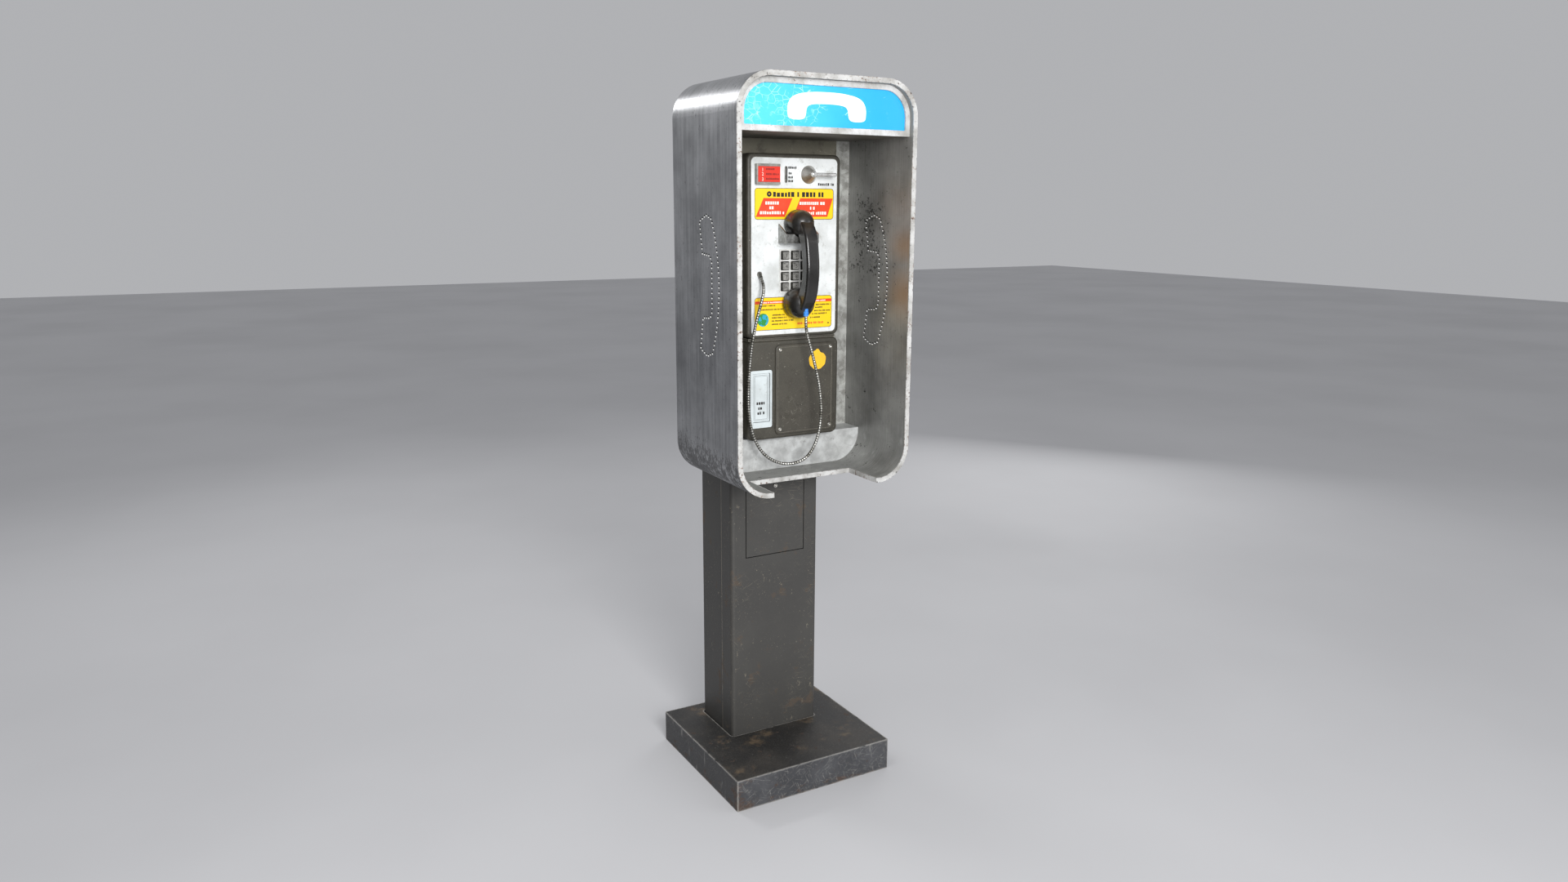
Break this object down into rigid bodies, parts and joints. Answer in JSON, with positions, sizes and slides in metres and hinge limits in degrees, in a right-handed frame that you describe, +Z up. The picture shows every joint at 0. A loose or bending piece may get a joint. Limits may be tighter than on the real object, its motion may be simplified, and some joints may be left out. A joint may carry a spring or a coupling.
{
  "type": "payphone",
  "caption": "Coin telephone in a rounded steel half-enclosure on a floor pedestal: lit sign, push-button face, hung handset on an armoured cord, coin return and vault door.",
  "frame": {"origin": "on the floor, under the middle of the bounding box", "axes": "+X to the right as the caller faces it, +Y away from the caller, +Z up"},
  "size_m": [0.367, 0.3642, 1.354],
  "materials": {
    "galvanised_steel": "zinc-coated, dull",
    "base_paint": "worn dark paint, bright edges, rust at the rim",
    "post_paint": "satin grey-brown paint with fine scratches",
    "bright_screw": "bright, slightly tarnished",
    "brushed_skin": "brushed upright, dirty towards the lower corners",
    "core_foam": "dark foam",
    "liner_steel": "dull, stained",
    "white_trim": "chipped white paint",
    "board_paint": "matte olive-brown",
    "zinc_rail": "mottled zinc",
    "zinc_shelf": "mottled zinc",
    "sign_acrylic": "translucent blue acrylic with pale scratches",
    "lamp_glass": "opal glass tube",
    "white_plastic": "white plastic",
    "housing_paint": "hammered olive-brown paint with worn edges",
    "face_enamel": "white enamel, faintly smudged",
    "card_red": "printed card",
    "chrome_plate": "chrome",
    "cradle_steel": "bare steel",
    "bezel_grey": "light grey enamel",
    "key_metal": "cast metal, polished by use",
    "board_green": "circuit board",
    "dark_metal": "blackened steel",
    "return_enamel": "white enamel, scuffed",
    "cord_steel": "interlocked steel conduit",
    "handset_plastic": "black moulded plastic, satin from wear",
    "ferrule_blue": "blue plastic"
  },
  "bodies": {
    "booth": {"anchor_plate": "galvanised_steel", "base_cover": "base_paint", "post_column": "post_paint", "post_cover": "post_paint", "access_door": "post_paint", "access_door_screw": "bright_screw", "post_top_plate": "galvanised_steel", "back_bracket": "post_paint", "enclosure_bolts": "bright_screw", "outer_skin": "brushed_skin", "acoustic_core": "core_foam", "inner_liner": "liner_steel", "edge_trim": "white_trim", "rear_panel": "brushed_skin", "backboard": "board_paint", "back_rail_left": "zinc_rail", "back_rail_right": "zinc_rail", "shelf": "zinc_shelf", "lightbox_floor": "liner_steel", "sign_frame": "white_trim", "sign_panel": "sign_acrylic", "lamp_tube": "lamp_glass", "lamp_holders": "white_plastic", "upper_housing": "housing_paint", "lower_housing": "housing_paint", "faceplate": "face_enamel", "card_holder": "cradle_steel", "instruction_card": "card_red", "coin_slot_bezel": "chrome_plate", "lever_boss": "chrome_plate", "hook_cradle": "cradle_steel", "keypad_bezel": "bezel_grey", "keypad_board": "board_green", "cord_bushing": "dark_metal", "coin_return_frame": "return_enamel", "coin_return_cup": "cradle_steel", "vault_door": "housing_paint", "vault_door_screws": "bright_screw", "coin_box": "galvanised_steel", "armored_cord": "cord_steel"},
    "key_1": {"key_1": "key_metal"},
    "key_2": {"key_2": "key_metal"},
    "key_3": {"key_3": "key_metal"},
    "key_4": {"key_4": "key_metal"},
    "key_5": {"key_5": "key_metal"},
    "key_6": {"key_6": "key_metal"},
    "key_7": {"key_7": "key_metal"},
    "key_8": {"key_8": "key_metal"},
    "key_9": {"key_9": "key_metal"},
    "key_star": {"key_star": "key_metal"},
    "key_0": {"key_0": "key_metal"},
    "key_hash": {"key_hash": "key_metal"},
    "lever": {"release_lever": "chrome_plate"},
    "return_flap": {"coin_return_flap": "return_enamel"},
    "hook": {"switch_hook": "cradle_steel"},
    "lock": {"housing_lock": "chrome_plate"},
    "handset": {"handset_shell": "handset_plastic", "ear_cap": "handset_plastic", "mouth_cap": "handset_plastic", "cord_ferrule": "ferrule_blue"}
  },
  "joints": [
    {"name": "key_1_press", "type": "slide", "parent": "booth", "child": "key_1", "axis": [0, 1, 0], "range_m": [0, 0.002], "stiffness_N_per_m": 250, "springref_m": -0.001},
    {"name": "key_2_press", "type": "slide", "parent": "booth", "child": "key_2", "axis": [0, 1, 0], "range_m": [0, 0.002], "stiffness_N_per_m": 250, "springref_m": -0.001},
    {"name": "key_3_press", "type": "slide", "parent": "booth", "child": "key_3", "axis": [0, 1, 0], "range_m": [0, 0.002], "stiffness_N_per_m": 250, "springref_m": -0.001},
    {"name": "key_4_press", "type": "slide", "parent": "booth", "child": "key_4", "axis": [0, 1, 0], "range_m": [0, 0.002], "stiffness_N_per_m": 250, "springref_m": -0.001},
    {"name": "key_5_press", "type": "slide", "parent": "booth", "child": "key_5", "axis": [0, 1, 0], "range_m": [0, 0.002], "stiffness_N_per_m": 250, "springref_m": -0.001},
    {"name": "key_6_press", "type": "slide", "parent": "booth", "child": "key_6", "axis": [0, 1, 0], "range_m": [0, 0.002], "stiffness_N_per_m": 250, "springref_m": -0.001},
    {"name": "key_7_press", "type": "slide", "parent": "booth", "child": "key_7", "axis": [0, 1, 0], "range_m": [0, 0.002], "stiffness_N_per_m": 250, "springref_m": -0.001},
    {"name": "key_8_press", "type": "slide", "parent": "booth", "child": "key_8", "axis": [0, 1, 0], "range_m": [0, 0.002], "stiffness_N_per_m": 250, "springref_m": -0.001},
    {"name": "key_9_press", "type": "slide", "parent": "booth", "child": "key_9", "axis": [0, 1, 0], "range_m": [0, 0.002], "stiffness_N_per_m": 250, "springref_m": -0.001},
    {"name": "key_star_press", "type": "slide", "parent": "booth", "child": "key_star", "axis": [0, 1, 0], "range_m": [0, 0.002], "stiffness_N_per_m": 250, "springref_m": -0.001},
    {"name": "key_0_press", "type": "slide", "parent": "booth", "child": "key_0", "axis": [0, 1, 0], "range_m": [0, 0.002], "stiffness_N_per_m": 250, "springref_m": -0.001},
    {"name": "key_hash_press", "type": "slide", "parent": "booth", "child": "key_hash", "axis": [0, 1, 0], "range_m": [0, 0.002], "stiffness_N_per_m": 250, "springref_m": -0.001},
    {"name": "lever_press", "type": "hinge", "parent": "booth", "child": "lever", "pos_m": [0.0415, -0.0595, 1.19], "axis": [0, 1, 0], "range_deg": [0, 25], "stiffness_Nm_per_rad": 0.15, "springref_deg": -17.19},
    {"name": "return_flap_swing", "type": "hinge", "parent": "booth", "child": "return_flap", "pos_m": [-0.0603, -0.034, 0.819], "axis": [1, 0, 0], "range_deg": [0, 30], "stiffness_Nm_per_rad": 0.06, "springref_deg": -20.05},
    {"name": "lock_turn", "type": "hinge", "parent": "booth", "child": "lock", "pos_m": [0.1121, -0.004, 1.15], "axis": [1, 0, 0], "range_deg": [0, 90]},
    {"name": "handset_lift", "type": "slide", "parent": "booth", "child": "handset", "axis": [0, -0.5, 0.866], "range_m": [0, 0.12]},
    {"name": "hook_rise", "type": "hinge", "parent": "booth", "child": "hook", "pos_m": [0.0116, -0.008, 1.073], "axis": [-1, 0, 0], "range_deg": [0, 8]}
  ],
  "couplings": [
    {"joint": "hook_rise", "follows": "handset_lift", "rad_per_m": 1.16}
  ]
}
